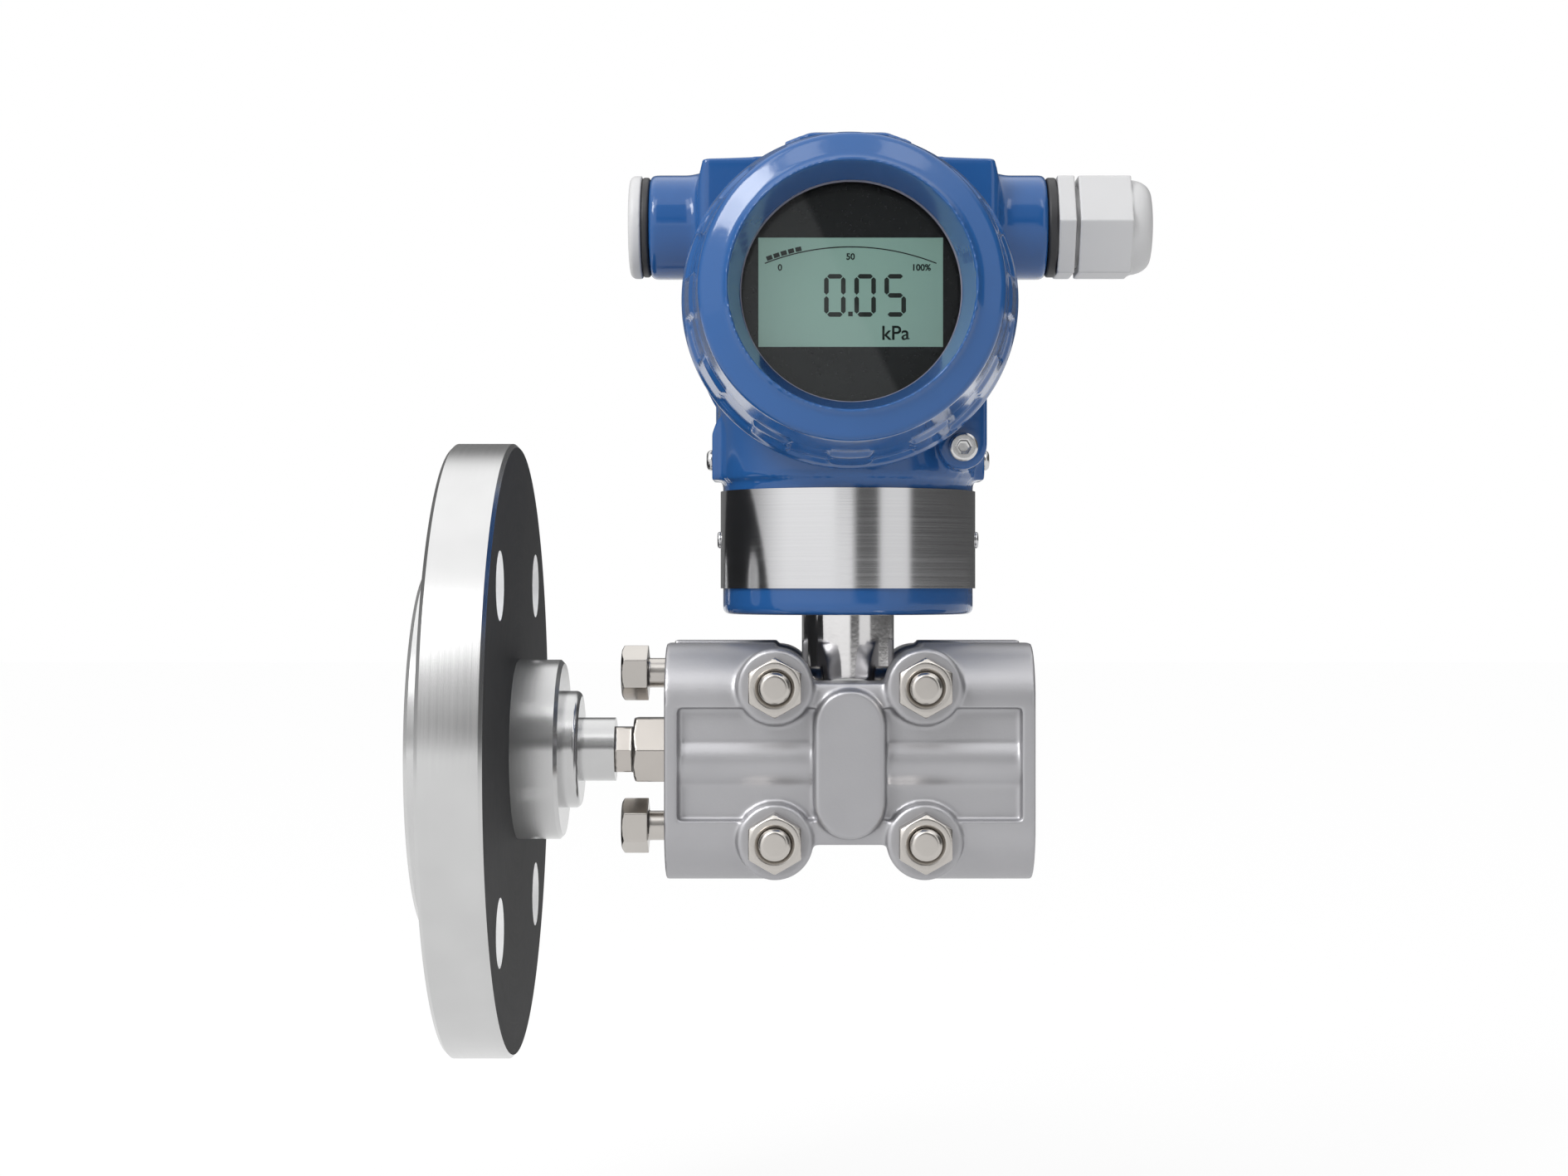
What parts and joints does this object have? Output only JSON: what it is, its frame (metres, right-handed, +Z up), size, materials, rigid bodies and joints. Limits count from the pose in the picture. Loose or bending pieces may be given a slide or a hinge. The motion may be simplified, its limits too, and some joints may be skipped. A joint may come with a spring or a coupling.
{
  "type": "flanged differential pressure transmitter",
  "caption": "Flange-mounted differential pressure transmitter: diaphragm seal flange, twin process flanges clamped on a capsule, and a swivelling two-compartment head with a display.",
  "frame": {"origin": "centre of the seal flange's gasket face", "axes": "+X from the gasket face into the transmitter, along the flange's axis; +Z up, along the head's swivel axis; the display looks along -Y"},
  "size_m": [0.1913, 0.1833, 0.2426],
  "materials": {
    "turned_steel": "fine turned stainless steel",
    "diaphragm_steel": "thin bright foil",
    "fitting_steel": "machined bar, slightly warm",
    "bolt_steel": "machined stainless fasteners",
    "cast_steel": "bead-blasted stainless casting, matte",
    "capsule_steel": "ground stainless steel",
    "polished_steel": "polished stainless tube",
    "band_steel": "satin stainless strip",
    "screw_steel": "bright screws",
    "gasket_white": "white fluoropolymer",
    "blue_paint": "glossy blue enamel on die-cast aluminium",
    "seal_rubber": "black nitrile",
    "gland_nylon": "light grey nylon",
    "window_glass": "clear flat glass",
    "display_black": "gloss black",
    "screen": "grey-green liquid crystal",
    "module_plastic": "moulded black cover",
    "terminal_plastic": "moulded black block",
    "terminal_metal": "nickelled brass screws"
  },
  "bodies": {
    "process_connection": {"seal_flange": "turned_steel", "seal_body": "turned_steel", "seal_diaphragm": "diaphragm_steel", "hex_nipple": "fitting_steel", "front_process_flange": "cast_steel", "rear_process_flange": "cast_steel", "sensor_capsule": "capsule_steel", "low_side_gasket": "gasket_white", "high_side_gasket": "gasket_white", "low_side_diaphragm": "diaphragm_steel", "high_side_diaphragm": "diaphragm_steel", "sensor_neck": "polished_steel", "clamp_bolts": "bolt_steel", "clamp_nuts": "bolt_steel", "connection_bolts": "bolt_steel", "vent_plugs": "bolt_steel"},
    "head": {"housing": "blue_paint", "nameplate_band": "band_steel", "band_rivets": "band_steel", "ear_screws": "screw_steel", "cover_lock_screws": "screw_steel", "plug_seal": "seal_rubber", "blanking_plug": "gland_nylon", "gland_seal": "seal_rubber", "gland_body": "gland_nylon", "electronics_module": "module_plastic", "display_bezel": "display_black", "lcd_panel": "screen", "terminal_block": "terminal_plastic", "terminal_screws": "terminal_metal"},
    "front_seal": {"front_cover_seal": "seal_rubber"},
    "front_lid": {"front_cover": "blue_paint", "window_gasket": "gasket_white", "window_glass": "window_glass", "window_retainer": "screw_steel"},
    "rear_seal": {"rear_cover_seal": "seal_rubber"},
    "rear_lid": {"rear_cover": "blue_paint"},
    "cable_bush": {"gland_insert": "seal_rubber"},
    "gland_cap": {"gland_nut": "gland_nylon"}
  },
  "joints": [
    {"name": "head_swivel", "type": "hinge", "parent": "process_connection", "child": "head", "pos_m": [0.1128, -0.027, 0.0368], "axis": [0, 0, 1], "range_deg": [-180, 180]},
    {"name": "front_cover_travel", "type": "slide", "parent": "head", "child": "front_seal", "axis": [0, -1, 0], "range_m": [0, 0.01]},
    {"name": "front_cover_turn", "type": "hinge", "parent": "front_seal", "child": "front_lid", "pos_m": [0.1128, -0.063, 0.1145], "axis": [0, -1, 0], "range_deg": [0, 1800]},
    {"name": "rear_cover_travel", "type": "slide", "parent": "head", "child": "rear_seal", "axis": [0, 1, 0], "range_m": [0, 0.01]},
    {"name": "rear_cover_turn", "type": "hinge", "parent": "rear_seal", "child": "rear_lid", "pos_m": [0.1128, 0.009, 0.1145], "axis": [0, 1, 0], "range_deg": [0, 1800]},
    {"name": "gland_nut_travel", "type": "slide", "parent": "head", "child": "cable_bush", "axis": [1, 0, 0], "range_m": [0, 0.006]},
    {"name": "gland_nut_turn", "type": "hinge", "parent": "cable_bush", "child": "gland_cap", "pos_m": [0.1783, -0.027, 0.1375], "axis": [1, 0, 0], "range_deg": [0, 1440]}
  ],
  "couplings": [
    {"joint": "front_cover_travel", "follows": "front_cover_turn", "m_per_rad": 0.00031831},
    {"joint": "rear_cover_travel", "follows": "rear_cover_turn", "m_per_rad": 0.00031831},
    {"joint": "gland_nut_travel", "follows": "gland_nut_turn", "m_per_rad": 0.00023873}
  ]
}
